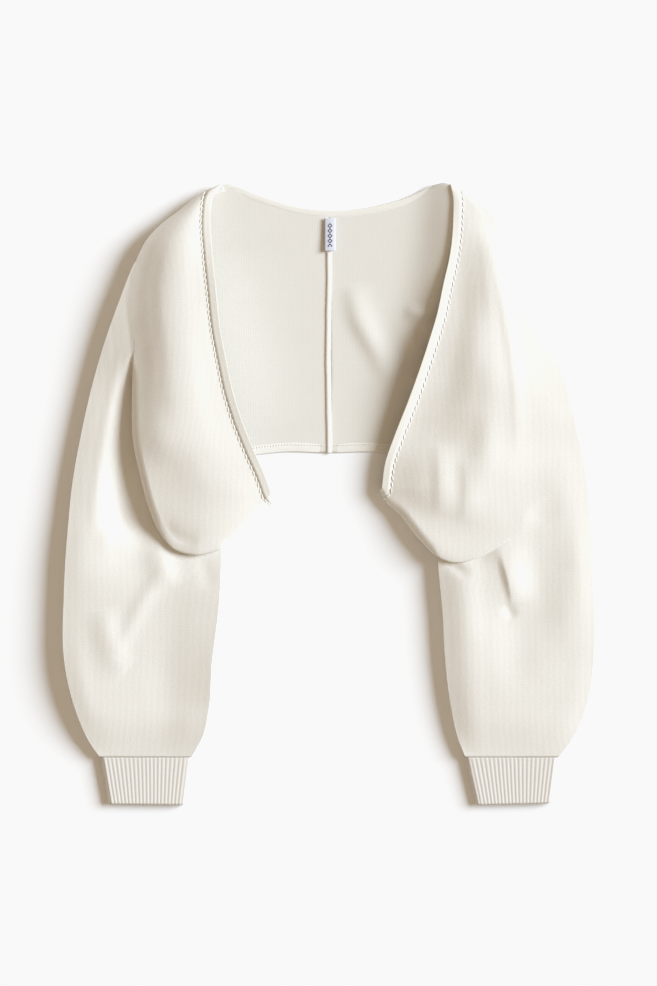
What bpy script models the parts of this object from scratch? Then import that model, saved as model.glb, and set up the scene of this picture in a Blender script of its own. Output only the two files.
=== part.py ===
"""A knitted shrug laid flat on its back panel, seen from above with the neck towards +Y.

Each half is cut in one with its sleeve: the cloth runs from the centre back seam along the
floor, rolls up round the shoulder and comes back on top as the front. The front ends in a
turned edge and sags over the sleeve in a fold. The sleeve's tube runs out from under that fold
to a ribbed cuff. Sizes here are millimetres: "out" is the distance from the centre back seam,
"up" the distance towards the neck from the middle of the garment, and the mesh is in metres.
"""

from collections import namedtuple

import bmesh
import bpy
import numpy as np

# Driving sizes
MM = 0.001
CLOTH = 1.8  # knitted wall
SEAM_GAP = 0.3  # between pieces that are sewn together or lie on each other
SLOPE_GAP = 0.65  # the same, where two thick rims meet on a slope
EDGE_RADIUS = 6.0  # radius at which the cloth leaves the floor at a fold
FLOOR_LAP = 1.5  # flat edge of the shoulder's roll on the floor
EDGE_SHOULDER = 14.0  # width over which a rolled edge reaches its full height
FRONT_BAND = 9.5  # width of the fronts' turned edge
NECK_BAND = 8.0
HEM_BAND = 10.5
BAND_CLOTH = 1.1
SEAM_RIDGE = 6.5  # width of the centre back seam
SEAM_HEIGHT = 2.0
LABEL = (12.0, 36.0, 0.5)  # width, length and thickness of the folded label
LABEL_LIFT = 3.2  # height of the label's free end above the seam
LABEL_OUT = 2.0  # middle of the label, right of the seam
LABEL_TILT = 0.03
CUFF_RISE = 10.5  # thickness of the flattened cuff
CUFF_TAPER = 1.5  # how much thinner the cuff is at its hem
RIBS = 24  # round the upper face and the sides of a cuff
RIB_WALL = 1.4
RIB_DEPTH = 0.9
FOLD_OPENING = 60.0  # distance over which the front's fold opens from nothing
FOLD_ROLL = 8.0  # how far the fold rolls past its lower layer
FOLD_LEAST = 2.8
TIP_LENGTH = 34.0  # stretch over which the fold narrows towards the front's tip
TIP_CLOSING = 0.55
FOLD_RETURN = 22.0  # how far the front turns back underneath
LAYER_GAP = 1.6  # between the front's return and the sleeve below it
JOIN_STEP = 8.0  # drop from the front to the sleeve where the fold starts
JOIN_BLEND = 20.0  # distance over which front and sleeve take the same height
OUTER_STRIP = (0.1, 0.3)  # shares of the sleeve's width where its outer height ends
INNER_STRIP = (0.6, 0.9)  # and where its inner height starts
UNDER_LAP = 9.0  # the front's return keeps this far round the sleeve's inner edge
UNDER_FALL = 12.0  # distance over which it falls from there to the floor
SHOULDER_TOP = 34.0  # stretch of the shoulder fold taken as the front's upper edge

Point = namedtuple("Point", "out up")
Relief = namedtuple("Relief", "up lip crown crown_out foot foot_out")
Section = namedtuple("Section", "up outer middle inner")
Fold = namedtuple("Fold", "start middle end half_width height")
Counts = namedtuple("Counts", "shoulder_rows fold_rows columns sleeve_rows armhole_columns")

# The back's neck edge, from the centre seam to the neck corner
NECK_EDGE = {
    "left": [Point(0, 312), Point(20, 314), Point(42, 318), Point(58, 323), Point(73, 328),
             Point(86, 333), Point(95, 336.5), Point(104, 338.5), Point(112, 337)],
    "right": [Point(0, 312), Point(24, 313), Point(46, 316), Point(68, 321), Point(84, 326),
              Point(98, 332), Point(109, 337), Point(119, 339.5), Point(129, 337)],
}

# The outer edge of each half: the shoulder fold, then the sleeve down to its cuff
OUTER_EDGE = {
    "left": [
        Point(117, 340), Point(136, 332), Point(167, 309), Point(185, 295), Point(199, 280),
        Point(215, 248), Point(228, 215), Point(251, 148), Point(272, 61), Point(280, 16),
        Point(286, -44), Point(290, -116), Point(290, -176), Point(284, -212),
        Point(274, -245), Point(263, -270), Point(251, -288),
    ],
    "right": [
        Point(134, 340), Point(148, 333), Point(163, 324), Point(178, 314), Point(194, 289),
        Point(216, 242), Point(227, 215), Point(251, 146), Point(273, 64), Point(280, 28),
        Point(286, -28), Point(289, -94), Point(291, -154), Point(286, -215),
        Point(278, -245), Point(267, -268), Point(253, -288),
    ],
}

# How far up the outer edge passes from the front to the sleeve
JOIN_UP = {"left": 206, "right": 28}

# The front's turned edge, from the neck corner to the front's tip
FRONT_EDGE = {
    "left": [
        Point(117, 340), Point(126, 328), Point(129, 308), Point(127, 264), Point(123, 226),
        Point(118, 180), Point(112, 148), Point(105, 115), Point(95, 82), Point(82, 49),
        Point(70, 22), Point(62, 1),
    ],
    "right": [
        Point(134, 340), Point(137, 326), Point(137, 306), Point(133, 262), Point(126, 231),
        Point(119, 198), Point(109, 165), Point(98, 132), Point(86, 99), Point(73, 66),
        Point(62, 33), Point(58, 6),
    ],
}

# The front's fold over the sleeve, from the outer edge to the front's tip
FRONT_FOLD = {
    "left": [
        Point(231, 206), Point(221, 195), Point(214, 177), Point(214, 148), Point(215, 105),
        Point(214, 61), Point(205, 16), Point(196, -16), Point(185, -41), Point(170, -59),
        Point(147, -66), Point(125, -62), Point(106, -54), Point(86, -35), Point(71, -14),
        Point(62, 1),
    ],
    "right": [
        Point(280, 28), Point(258, 13), Point(235, 1), Point(216, -14), Point(208, -36),
        Point(194, -53), Point(175, -64), Point(156, -72), Point(134, -74), Point(119, -68),
        Point(101, -51), Point(79, -23), Point(65, -6), Point(58, 6),
    ],
}

# The length of that line along which front and sleeve are still one surface
JOIN_LENGTH = {"left": 30, "right": 76}

# The length at which the line turns from the front's side to its lower edge
FOLD_TURN = {"left": 262, "right": 0}

# The sleeve's upper opening, hidden below the front, from the fold's start to the underarm
ARMHOLE = {
    "left": [Point(206, 140), Point(176, 82), Point(119, 16)],
    "right": [Point(190, -30), Point(156, -16), Point(120, 16)],
}

# The sleeve's inner edge, from the underarm to the cuff
INNER_EDGE = {
    "left": [
        Point(119, 16), Point(117, -63), Point(120, -127), Point(127, -182), Point(131, -237),
        Point(137, -263), Point(150, -288),
    ],
    "right": [
        Point(120, 16), Point(120, -72), Point(125, -129), Point(128, -182), Point(134, -231),
        Point(141, -264), Point(150, -288),
    ],
}

# The back's hem, from the centre seam to the underarm
HEM_EDGE = [Point(0, 46), Point(60, 46), Point(92, 40), Point(118, 24)]

# The cuff's lower edge, outer and inner corner
CUFF_HEM = {
    "left": (Point(242, -339.5), Point(157, -340.5)),
    "right": (Point(246, -338.5), Point(162, -340.5)),
}

# Height of the front: at its turned edge, at its crown and at the foot of the crown's flank
FRONT_RELIEF = {
    "left": [
        Relief(340, 10, 11, 140, 11, 165),
        Relief(300, 22, 27, 152, 17, 184),
        Relief(250, 29, 36, 158, 20, 204),
        Relief(190, 31, 41, 160, 21, 211),
        Relief(104, 30, 44, 152, 27, 212),
        Relief(45, 27, 43, 142, 32, 208),
        Relief(5, 17, 40, 134, 33, 198),
        Relief(-68, 17, 30, 126, 28, 186),
    ],
    "right": [
        Relief(340, 10, 11, 150, 11, 172),
        Relief(300, 23, 28, 165, 18, 190),
        Relief(250, 29, 36, 170, 22, 206),
        Relief(180, 31, 41, 172, 24, 226),
        Relief(104, 29, 42, 172, 27, 246),
        Relief(50, 26, 41, 166, 30, 258),
        Relief(10, 17, 40, 162, 31, 262),
        Relief(-76, 17, 31, 150, 30, 264),
    ],
}

# Height of the sleeve across its outer, middle and inner part
SLEEVE_RELIEF = {
    "left": [
        Section(206, 22, 12, 11),
        Section(104, 26, 12, 11),
        Section(16, 29, 13, 12),
        Section(-60, 31, 20, 18),
        Section(-140, 32, 28, 26),
        Section(-200, 31, 28, 26),
        Section(-250, 24, 22, 20),
        Section(-288, 11, 11, 11),
    ],
    "right": [
        Section(28, 28, 13, 12),
        Section(-36, 30, 15, 13),
        Section(-80, 31, 22, 19),
        Section(-140, 32, 28, 27),
        Section(-200, 31, 28, 27),
        Section(-250, 24, 22, 21),
        Section(-288, 11, 11, 11),
    ],
}

# The largest folds of each surface: ridges are above zero, troughs below
FRONT_FOLDS = {
    "left": [
        Fold(Point(176, 290), Point(186, 200), Point(190, 90), 13, -2.5),
        Fold(Point(204, 30), Point(190, -10), Point(172, -40), 12, 2.5),
    ],
    "right": [
        Fold(Point(163, 282), Point(150, 160), Point(143, 10), 12, -4.5),
        Fold(Point(196, 268), Point(214, 130), Point(208, 10), 10, 2.5),
        Fold(Point(100, 60), Point(98, 20), Point(94, -8), 12, -3.5),
        Fold(Point(122, 60), Point(120, 10), Point(114, -30), 9, 2.5),
    ],
}
SLEEVE_FOLDS = {
    "left": [
        Fold(Point(198, -20), Point(208, -42), Point(208, -64), 10, -6.0),
        Fold(Point(188, -50), Point(188, -64), Point(196, -80), 9, 4.5),
        Fold(Point(178, -76), Point(198, -112), Point(230, -176), 10, 2.5),
        Fold(Point(254, -146), Point(250, -180), Point(232, -198), 9, -4.0),
        Fold(Point(160, -96), Point(150, -190), Point(152, -262), 14, -3.0),
    ],
    "right": [
        Fold(Point(190, -56), Point(195, -80), Point(202, -106), 8, -6.0),
        Fold(Point(208, -52), Point(210, -84), Point(206, -120), 10, 3.5),
        Fold(Point(256, -66), Point(236, -130), Point(204, -206), 16, -4.0),
        Fold(Point(142, -96), Point(156, -150), Point(166, -216), 14, 2.5),
    ],
}
BACK_FOLDS = {
    "left": [],
    "right": [
        Fold(Point(36, 226), Point(56, 184), Point(78, 142), 11, 6.0),
        Fold(Point(78, 258), Point(94, 234), Point(108, 206), 10, 5.0),
    ],
}

# Numbers of quads in each surface
COUNTS = {
    "left": Counts(12, 19, 11, 21, 10),
    "right": Counts(20, 0, 20, 18, 8),
}
ROLL_STEPS = 4
RETURN_STEPS = 2
CORNER_STEPS = 3
FLOOR_COLUMNS = 4
CUFF_ROWS = 2
SEAM_ROWS = 12
BACK_ROWS = 20
BACK_COLUMNS = 9
DENSE = 60  # points of an outline between which the surfaces' own points are read


def as_line(points):
    return np.array([(p.out, p.up) for p in points], float)


def arc_lengths(line):
    return np.r_[0, np.cumsum(np.linalg.norm(np.diff(line, axis=0), axis=1))]


def smooth_line(knots, count=3 * DENSE):
    """A smooth curve through the knots, as a dense chain of points."""
    length = arc_lengths(knots)
    slopes = np.gradient(knots, length, axis=0)
    at = np.linspace(0, length[-1], count)
    cell = np.clip(np.searchsorted(length, at, side="right") - 1, 0, len(knots) - 2)
    step = (length[cell + 1] - length[cell])[:, None]
    t = (at[:, None] - length[cell][:, None]) / step
    return (
        (2 * t**3 - 3 * t**2 + 1) * knots[cell]
        + (t**3 - 2 * t**2 + t) * slopes[cell] * step
        + (3 * t**2 - 2 * t**3) * knots[cell + 1]
        + (t**3 - t**2) * slopes[cell + 1] * step
    )


def at_lengths(line, where):
    """The points of a chain at the given distances along it."""
    length = arc_lengths(line)
    return np.stack([np.interp(where, length, line[:, axis]) for axis in (0, 1)], axis=1)


def evenly(line, count):
    return at_lengths(line, np.linspace(0, arc_lengths(line)[-1], count + 1))


def normals_right(line):
    """Unit vectors across a chain, to the right of its direction."""
    along = np.gradient(line, axis=0)
    along /= np.linalg.norm(along, axis=1)[:, None]
    return np.stack([along[:, 1], -along[:, 0]], axis=1)


def table_value(rows, column, up):
    """One column of a relief table, read smoothly at the heights `up`."""
    knots = np.array([row.up for row in rows][::-1], float)
    values = np.array([getattr(row, column) for row in rows][::-1], float)
    at = np.clip(up, knots[0], knots[-1])
    cell = np.clip(np.searchsorted(knots, at, side="right") - 1, 0, len(knots) - 2)
    t = ramp((at - knots[cell]) / (knots[cell + 1] - knots[cell]))
    return values[cell] * (1 - t) + values[cell + 1] * t


def ramp(t):
    """An even rise from 0 to 1 with level ends."""
    t = np.clip(t, 0, 1)
    return t * t * (3 - 2 * t)


def ramp_between(value, limits):
    return ramp((value - limits[0]) / (limits[1] - limits[0]))


def distance_to(plan, line):
    """The distance of each plan point from a chain of points."""
    start = line[:-1]
    along = line[1:] - start
    offset = plan[..., None, :] - start
    share = np.clip((offset * along).sum(-1) / (along**2).sum(-1), 0, 1)
    return np.linalg.norm(offset - share[..., None] * along, axis=-1).min(-1)


def out_at(line, up):
    """How far out a chain that runs up or down lies at the heights `up`."""
    order = np.argsort(line[:, 1])
    return np.interp(up, line[order, 1], line[order, 0])


def fold_relief(plan, folds):
    """The sum of the soft ridges and troughs at the plan points."""
    height = np.zeros(plan.shape[:-1])
    for fold in folds:
        line = smooth_line(as_line([fold.start, fold.middle, fold.end]), 9)
        height += fold.height * np.exp(-((distance_to(plan, line) / fold.half_width) ** 2))
    return height


def rounded(distance, height):
    """A height that rises like a quarter ellipse from the roll at an edge to its full value."""
    share = 1 - np.clip(distance / EDGE_SHOULDER, 0, 1)
    return EDGE_RADIUS + (height - EDGE_RADIUS) * np.sqrt(1 - share**2)


def patch(top, bottom, start, end):
    """A grid of plan points between four edge chains; its rows run from `top` to `bottom`."""
    down = np.linspace(0, 1, len(start))[:, None, None]
    across = np.linspace(0, 1, len(top))[None, :, None]
    between_rows = (1 - down) * top[None] + down * bottom[None]
    between_sides = (1 - across) * start[:, None] + across * end[:, None]
    corners = (
        (1 - down) * (1 - across) * top[0]
        + (1 - down) * across * top[-1]
        + down * (1 - across) * bottom[0]
        + down * across * bottom[-1]
    )
    return between_rows + between_sides - corners


class Half:
    """One half of the shrug: its outlines in plan and the heights of its surfaces."""

    def __init__(self, side):
        self.side = side
        self.sign = -1 if side == "left" else 1
        self.counts = COUNTS[side]
        self.outer = smooth_line(as_line(OUTER_EDGE[side]), 4 * DENSE)
        self.inner = smooth_line(as_line(INNER_EDGE[side]))
        self.front_edge = smooth_line(as_line(FRONT_EDGE[side]))
        join = int(np.argmin(abs(self.outer[:, 1] - JOIN_UP[side])))
        self.shoulder = self.outer[: join + 1]
        self.sleeve_outer = self.outer[join:]
        knots = as_line(FRONT_FOLD[side])
        knots[0] = self.shoulder[-1]
        self.fold = smooth_line(knots, 4 * DENSE)
        self.fold_length = arc_lengths(self.fold)
        self.join_line = self.fold[self.fold_length <= JOIN_LENGTH[side] + 1]

    def fold_share(self, length):
        """How far the fold is open: not at all at its start, fully further on, less at the tip."""
        opened = ramp((length - JOIN_LENGTH[self.side] + 10) / FOLD_OPENING)
        to_tip = (length - self.fold_length[-1] + TIP_LENGTH) / TIP_LENGTH
        return opened * (1 - TIP_CLOSING * ramp(to_tip))

    def front_height(self, plan):
        rows = FRONT_RELIEF[self.side]
        out, up = plan[..., 0], plan[..., 1]
        crown_out = table_value(rows, "crown_out", up)
        foot_out = table_value(rows, "foot_out", up)
        lip_out = out_at(self.front_edge, up)
        crown = table_value(rows, "crown", up)
        flank = ramp((out - crown_out) / (foot_out - crown_out))
        slope = ramp((crown_out - out) / (crown_out - lip_out))
        height = crown + (table_value(rows, "foot", up) - crown) * flank
        height += (table_value(rows, "lip", up) - crown) * slope
        height += fold_relief(plan, FRONT_FOLDS[self.side])
        return rounded(distance_to(plan, self.outer), height)

    def sleeve_height(self, plan):
        rows = SLEEVE_RELIEF[self.side]
        out, up = plan[..., 0], plan[..., 1]
        outer, inner = out_at(self.outer, up), out_at(self.inner, up)
        share = (outer - out) / (outer - inner)
        middle, inward = ramp_between(share, OUTER_STRIP), ramp_between(share, INNER_STRIP)
        height = table_value(rows, "outer", up) * (1 - middle)
        height += table_value(rows, "middle", up) * middle
        height = height * (1 - inward) + table_value(rows, "inner", up) * inward
        height += fold_relief(plan, SLEEVE_FOLDS[self.side])
        edge = np.minimum(distance_to(plan, self.outer), distance_to(plan, self.inner))
        height = rounded(edge, height)
        near_join = np.exp(-((distance_to(plan, self.join_line) / JOIN_BLEND) ** 2))
        return height + (self.join_height(plan) - height) * near_join

    def join_height(self, plan):
        """The front's height, lowered as the fold's start comes nearer."""
        first, last = self.join_line[0], self.join_line[-1]
        along = last - first
        share = np.clip(((plan - first) * along).sum(-1) / (along**2).sum(), 0, 1)
        return self.front_height(plan) - JOIN_STEP * share**3

    def under_height(self, plan):
        """What the front's return lies on: the sleeve, falling to the floor beside it."""
        inside = plan[..., 0] - out_at(self.inner, plan[..., 1]) + UNDER_LAP
        level = table_value(SLEEVE_RELIEF[self.side], "inner", plan[..., 1])
        edge = EDGE_RADIUS + (level - EDGE_RADIUS) * ramp(inside / UNDER_LAP)
        fall = EDGE_RADIUS * np.exp(-((np.clip(-inside, 0, None) / UNDER_FALL) ** 2))
        on_sleeve = np.maximum(self.sleeve_height(plan), edge)
        beside = np.where(inside > 0, edge, np.maximum(fall, 1))
        return LAYER_GAP + np.where(inside > UNDER_LAP, on_sleeve, beside)

    def place(self, plan, height):
        """Plan points and heights as points in space on this half's side."""
        height = np.broadcast_to(height, plan.shape[:-1])
        return np.stack([self.sign * plan[..., 0], plan[..., 1], height], axis=-1)

    def floor_roll(self, edge, inward, lap=0):
        """The quarter turn from an outer edge down to the floor, with a flat lap if wanted."""
        strip = []
        for turn in np.linspace(0, np.pi / 2, CORNER_STEPS + 1):
            plan = edge + inward * EDGE_RADIUS * (1 - np.cos(turn))
            strip.append(self.place(plan, EDGE_RADIUS * (1 - np.sin(turn))))
        if lap:
            strip.append(self.place(edge + inward * (EDGE_RADIUS + lap), 0))
        return np.array(strip)


class Front:
    """The front's surface: its grid of points and the chain of its edge from neck to tip."""

    def __init__(self, half):
        self.half = half
        counts = half.counts
        corner = int(np.searchsorted(arc_lengths(half.shoulder), SHOULDER_TOP))
        turn = int(np.searchsorted(half.fold_length, FOLD_TURN[half.side]))
        roll = FOLD_ROLL * half.fold_share(half.fold_length)
        inset = half.fold + normals_right(half.fold) * roll[:, None]
        start = evenly(half.shoulder[corner:], counts.shoulder_rows)
        if counts.fold_rows:
            start = np.vstack([start, evenly(inset[: turn + 1], counts.fold_rows)[1:]])
        knots = as_line(FRONT_EDGE[half.side])
        knots[-1] = inset[-1]
        edge = smooth_line(knots)
        dense = patch(
            evenly(half.shoulder[corner::-1], DENSE), evenly(inset[turn:], DENSE),
            start, evenly(edge, len(start) - 1),
        )
        self.plan = np.array([self.with_band(row, edge, counts.columns) for row in dense])
        self.points = half.place(self.plan, half.front_height(self.plan))
        columns = self.plan.shape[1]
        chain = np.vstack([self.plan[0, ::-1], self.plan[1:, 0], self.plan[-1, 1:]])
        join = columns - 1 + counts.shoulder_rows
        self.shoulder_chain = chain[: join + 1]
        self.fold_chain = chain[join:]
        length = arc_lengths(self.fold_chain)
        self.open_at = int(np.argmin(abs(length - JOIN_LENGTH[half.side])))
        self.roll = self.fold_roll(length)
        inward = normals_right(self.shoulder_chain)
        self.shoulder_roll = half.floor_roll(self.shoulder_chain, inward, FLOOR_LAP)

    @staticmethod
    def with_band(row, edge, columns):
        """A row of the plan with its last two quads across the turned edge."""
        away = distance_to(row, edge)
        length = arc_lengths(row)
        band = np.interp(FRONT_BAND, away[::-1], length[::-1])
        inner = np.linspace(0, band, columns + 1)
        return at_lengths(row, np.r_[inner, (band + length[-1]) / 2, length[-1]])

    def fold_roll(self, length):
        """The fold's strip: half a turn down past the edge, then back under the front."""
        half = self.half
        chain = self.fold_chain[self.open_at:]
        away = -normals_right(self.fold_chain)[self.open_at:]
        opening = half.fold_share(length[self.open_at:])
        roll = np.maximum(FOLD_ROLL * opening, FOLD_LEAST)[:, None]
        top = half.front_height(chain)
        strip = []
        for turn in np.linspace(0, np.pi, ROLL_STEPS + 1):
            plan = chain + away * roll * np.sin(turn)
            drop = (top - half.under_height(plan)) / 2
            strip.append(half.place(plan, top - drop * (1 - np.cos(turn))))
        for step in range(1, RETURN_STEPS + 1):
            plan = chain - away * FOLD_RETURN * step / RETURN_STEPS
            strip.append(half.place(plan, half.under_height(plan)))
        return np.array(strip)

    def band(self):
        """The turned edge, from the front's own points moved out along their normals."""
        grid = self.points[:, -3:]
        tip = self.roll[1: ROLL_STEPS // 2 + 1, -3:]
        grid = np.concatenate([grid, tip])
        along = np.gradient(grid, axis=0)
        across = np.gradient(grid, axis=1)
        normal = np.cross(along, across)
        normal /= np.linalg.norm(normal, axis=2)[..., None]
        normal *= np.sign(normal[0, 0, 2])
        return grid + normal * SEAM_GAP


class Sleeve:
    """The sleeve's tube: upper wall, lower wall on the floor and the rolls that join them."""

    def __init__(self, half, front):
        self.half = half
        counts = half.counts
        joined = front.fold_chain[: front.open_at + 1]
        joined = joined - normals_right(joined) * SLOPE_GAP
        knots = np.vstack([joined[-1], as_line(ARMHOLE[half.side])])
        armhole = evenly(smooth_line(knots), counts.armhole_columns)
        outer = half.sleeve_outer
        outer = at_lengths(outer, np.linspace(SLOPE_GAP, arc_lengths(outer)[-1], 4 * DENSE))
        outer = evenly(outer, counts.sleeve_rows)
        joined[0] = outer[0]
        inner = evenly(half.inner, counts.sleeve_rows)
        top = np.vstack([joined, armhole[1:]])
        cuff = evenly(np.array([outer[-1], inner[-1]]), len(top) - 1)
        plan = patch(top, cuff, outer, inner)
        height = half.sleeve_height(plan)
        height[:, 0] = EDGE_RADIUS
        height[:, -1] = EDGE_RADIUS
        self.top = half.place(plan, height)
        from_outer, from_inner = normals_right(outer), -normals_right(inner)
        self.outer_roll = half.floor_roll(outer, from_outer)
        self.inner_roll = half.floor_roll(inner, from_inner)
        outer_floor = outer + from_outer * EDGE_RADIUS
        inner_floor = inner + from_inner * EDGE_RADIUS
        self.opening = np.array([outer_floor[0], inner_floor[0]])
        self.cuff_corners = outer[-1], inner[-1]
        floor = patch(
            evenly(self.opening, FLOOR_COLUMNS),
            evenly(np.array([outer_floor[-1], inner_floor[-1]]), FLOOR_COLUMNS),
            outer_floor, inner_floor,
        )
        self.floor = half.place(floor, 0)


def back_plan(half, front, opening):
    """The plan of one back panel, inside the shoulder fold and the sleeve's opening."""
    shoulder = front.shoulder_chain
    shoulder = shoulder + normals_right(shoulder) * (EDGE_RADIUS + FLOOR_LAP + SEAM_GAP)
    along = opening[1] - opening[0]
    across = np.array([along[1], -along[0]]) / np.linalg.norm(along)
    underarm = opening[1] + across * SEAM_GAP
    outer = np.vstack([shoulder, underarm])
    neck = as_line(NECK_EDGE[half.side])
    neck[:, 0] = np.maximum(neck[:, 0], SEAM_GAP / 2)
    neck[-1] = outer[0]
    hem = as_line(HEM_EDGE)
    hem[:, 0] = np.maximum(hem[:, 0], SEAM_GAP / 2)
    hem[-1] = underarm
    neck, hem = smooth_line(neck), smooth_line(hem)
    centre = np.array([neck[0], hem[0]])
    return patch(
        evenly(neck, BACK_COLUMNS), evenly(hem, BACK_COLUMNS),
        evenly(centre, BACK_ROWS), evenly(outer, BACK_ROWS),
    )


def edge_strip(line, width, inward):
    """A flat strip of the given width along an edge, on the back's upper face."""
    inner = line + inward * width
    return np.array([line, (line + inner) / 2, inner])


def add_grid(work, points):
    """Joins a grid of points with quads; points that coincide are welded afterwards."""
    corners = [[work.verts.new(p) for p in row] for row in points * MM]
    for upper, lower in zip(corners, corners[1:]):
        for j in range(len(upper) - 1):
            work.faces.new((upper[j], upper[j + 1], lower[j + 1], lower[j]))


def finish(name, grids, collection, material):
    """Welds grids into one mesh object, with its faces pointing out."""
    work = bmesh.new()
    for points in grids:
        add_grid(work, points)
    bmesh.ops.remove_doubles(work, verts=work.verts, dist=0.00003)
    bmesh.ops.recalc_face_normals(work, faces=work.faces)
    data = bpy.data.meshes.new(name)
    work.to_mesh(data)
    work.free()
    data.shade_smooth()
    data.materials.append(material)
    piece = bpy.data.objects.new(name, data)
    collection.objects.link(piece)
    return piece


def finish_sheet(name, grids, collection, material, thickness=CLOTH, face_up=True, grow_out=False):
    """Welds grids into a sheet whose outer face is known, and gives it its thickness."""
    piece = finish(name, grids, collection, material)
    highest = max(piece.data.polygons, key=lambda face: face.center.z)
    if (highest.normal.z > 0) != face_up:
        piece.data.flip_normals()
    cloth = piece.modifiers.new("cloth", "SOLIDIFY")
    cloth.thickness = thickness * MM
    cloth.offset = 1 if grow_out else -1
    return piece


def cuff_section(width, rise):
    """Points round the flattened cuff, their normals, and how far the ribs raise each point."""
    radius = (rise - RIB_DEPTH) / 2
    straight = width - 2 * (radius + RIB_DEPTH)
    turn = np.pi * radius
    ribs = np.arange(RIBS)[:, None]
    at = ((ribs + np.array([0, 0.12, 0.5, 0.62])).ravel() / RIBS) * (2 * turn + straight)
    angle = -np.pi / 2 - np.clip(at / radius, 0, np.pi)
    angle -= np.clip((at - turn - straight) / radius, 0, np.pi)
    normal = np.stack([np.cos(angle), np.sin(angle)], axis=1)
    centre = np.clip(at - turn, 0, straight) + radius + RIB_DEPTH
    ring = np.stack([centre, np.full(len(at), radius)], axis=1) + radius * normal
    lift = np.tile([0, RIB_DEPTH, RIB_DEPTH, 0], RIBS) * np.clip(1 + normal[:, 1], 0, 1)
    floor = np.linspace(straight, 0, FLOOR_COLUMNS + 2)[:-1] + radius + RIB_DEPTH
    ring = np.vstack([ring, np.stack([floor, np.zeros(len(floor))], axis=1)])
    normal = np.vstack([normal, np.tile([0.0, -1.0], (len(floor), 1))])
    return ring, normal, np.r_[lift, np.zeros(len(floor))]


def cuff_rings(half, outer_top, inner_top):
    """The ribbed tube: outer rings down to the hem, then plain inner rings back up."""
    outer_hem, inner_hem = as_line(CUFF_HEM[half.side])
    outer_rings, inner_rings = [], []
    for share in np.linspace(0, 1, CUFF_ROWS + 1):
        outer = outer_top * (1 - share) + outer_hem * share
        inner = inner_top * (1 - share) + inner_hem * share
        width = np.linalg.norm(outer - inner)
        ring, normal, lift = cuff_section(width, CUFF_RISE - CUFF_TAPER * share)
        for rings, offset in ((outer_rings, lift), (inner_rings, -RIB_WALL)):
            section = ring + normal * np.broadcast_to(offset, len(ring))[:, None]
            plan = inner + (outer - inner) * (section[:, :1] / width)
            rings.append(half.place(plan, section[:, 1]))
    rings = outer_rings + inner_rings[::-1] + outer_rings[:1]
    return np.array([np.vstack([ring, ring[:1]]) for ring in rings])


def seam_rings(top, bottom):
    """Half-round sections of the centre back seam, from the neck band to the hem."""
    rings = []
    turn = np.linspace(0, np.pi, 7)
    for share in np.linspace(0, 1, SEAM_ROWS + 1):
        up = top + (bottom - top) * share
        width = SEAM_RIDGE / 2 * (1 + 0.08 * np.sin(up * 0.31))
        across = width * np.cos(turn) + 0.5 * np.sin(up * 0.045)
        height = CLOTH + SEAM_GAP + SEAM_HEIGHT * np.sin(turn)
        height[[0, -1]] = CLOTH + SEAM_GAP
        ring = np.stack([across, np.full(len(turn), up), height], axis=1)
        rings.append(np.vstack([ring, ring[:1]]))
    return np.array(rings)


def label_sheet(top):
    """The folded label: two plies joined by a small loop at the free end."""
    width, length, _ = LABEL
    base = CLOTH + 2 * SEAM_GAP + SEAM_HEIGHT + LABEL[2]
    run = np.linspace(0, 1, 7)
    loop = 1.0
    turn = np.linspace(-np.pi / 2, np.pi / 2, 6)[1:-1]
    lower = [(top - (length - loop) * s, base + LABEL_LIFT * s**2) for s in run]
    end = top - (length - loop)
    bend = [(end - loop * np.cos(a), base + LABEL_LIFT + loop * (1 + np.sin(a))) for a in turn]
    upper = [(up, height + 2 * loop * (0.6 + 0.4 * (top - up) / length)) for up, height in lower]
    profile = np.array(lower + bend + upper[::-1])
    across = np.array([-width / 2, 0, width / 2]) + LABEL_OUT
    return np.array([
        [(x, up + (x - LABEL_OUT) * LABEL_TILT, height) for x in across]
        for up, height in profile
    ])


def knit_material(name, colour, roughness):
    material = bpy.data.materials.new(name)
    material.use_nodes = True
    shader = material.node_tree.nodes["Principled BSDF"]
    shader.inputs["Base Color"].default_value = (*colour, 1)
    shader.inputs["Roughness"].default_value = roughness
    return material


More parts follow.
